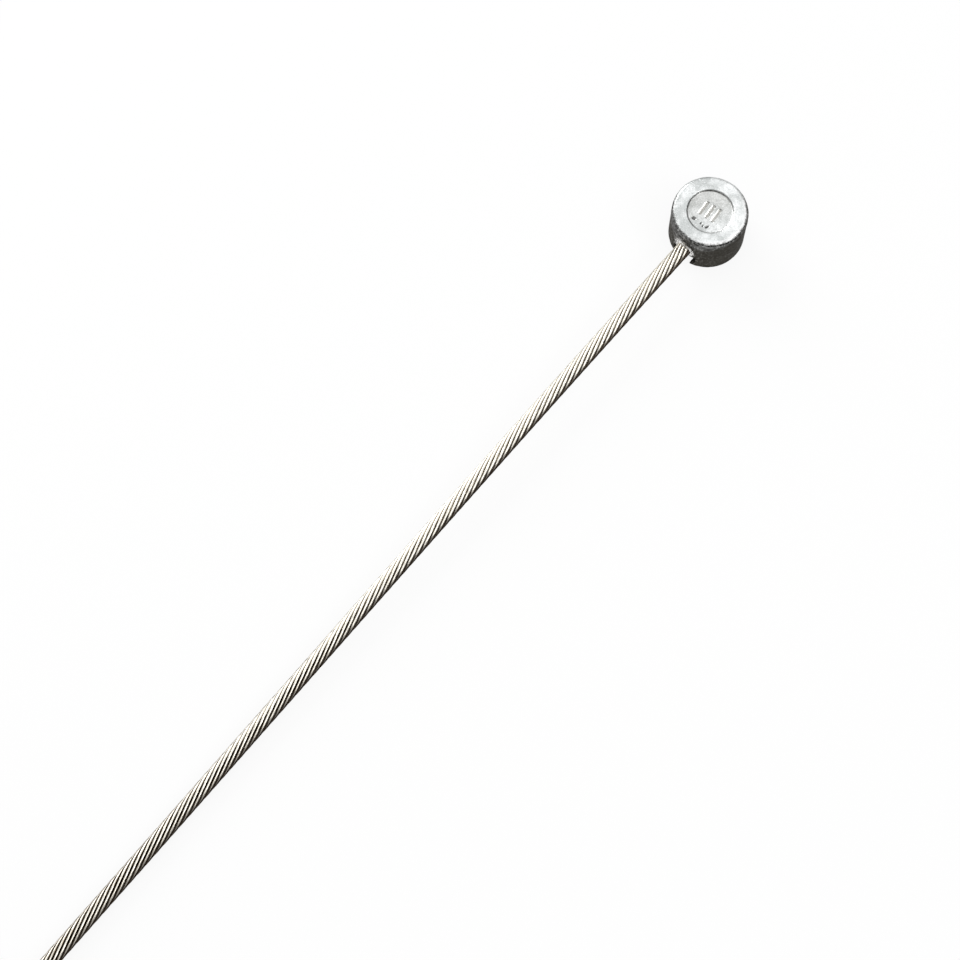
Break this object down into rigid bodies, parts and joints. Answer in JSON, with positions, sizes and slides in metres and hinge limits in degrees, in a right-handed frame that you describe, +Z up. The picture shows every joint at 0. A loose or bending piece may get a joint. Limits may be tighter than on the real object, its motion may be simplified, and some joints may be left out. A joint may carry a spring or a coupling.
{
  "type": "bicycle brake inner cable",
  "caption": "Stranded steel brake inner wire with a cast barrel at one end, which sits in a lever's cable anchor. The spare length lies wound in a small coil.",
  "frame": {"origin": "centre of the barrel's lower end face, on the surface that the cable lies on", "axes": "+Z up along the barrel's axis; -Y points from the barrel towards the picture's viewer, and +X to the viewer's right. The cable leaves towards -X and -Y."},
  "size_m": [0.0784, 0.1132, 0.006],
  "materials": {
    "cast_zinc": "die-cast zinc, satin grey with a fine cast skin and a few casting pits",
    "strand_steel": "drawn galvanised steel wires laid left-handed, bright with dark grooves"
  },
  "bodies": {
    "root": {"barrel_end": "cast_zinc", "cable_run": "strand_steel", "cable_coil": "strand_steel"}
  },
  "joints": []
}
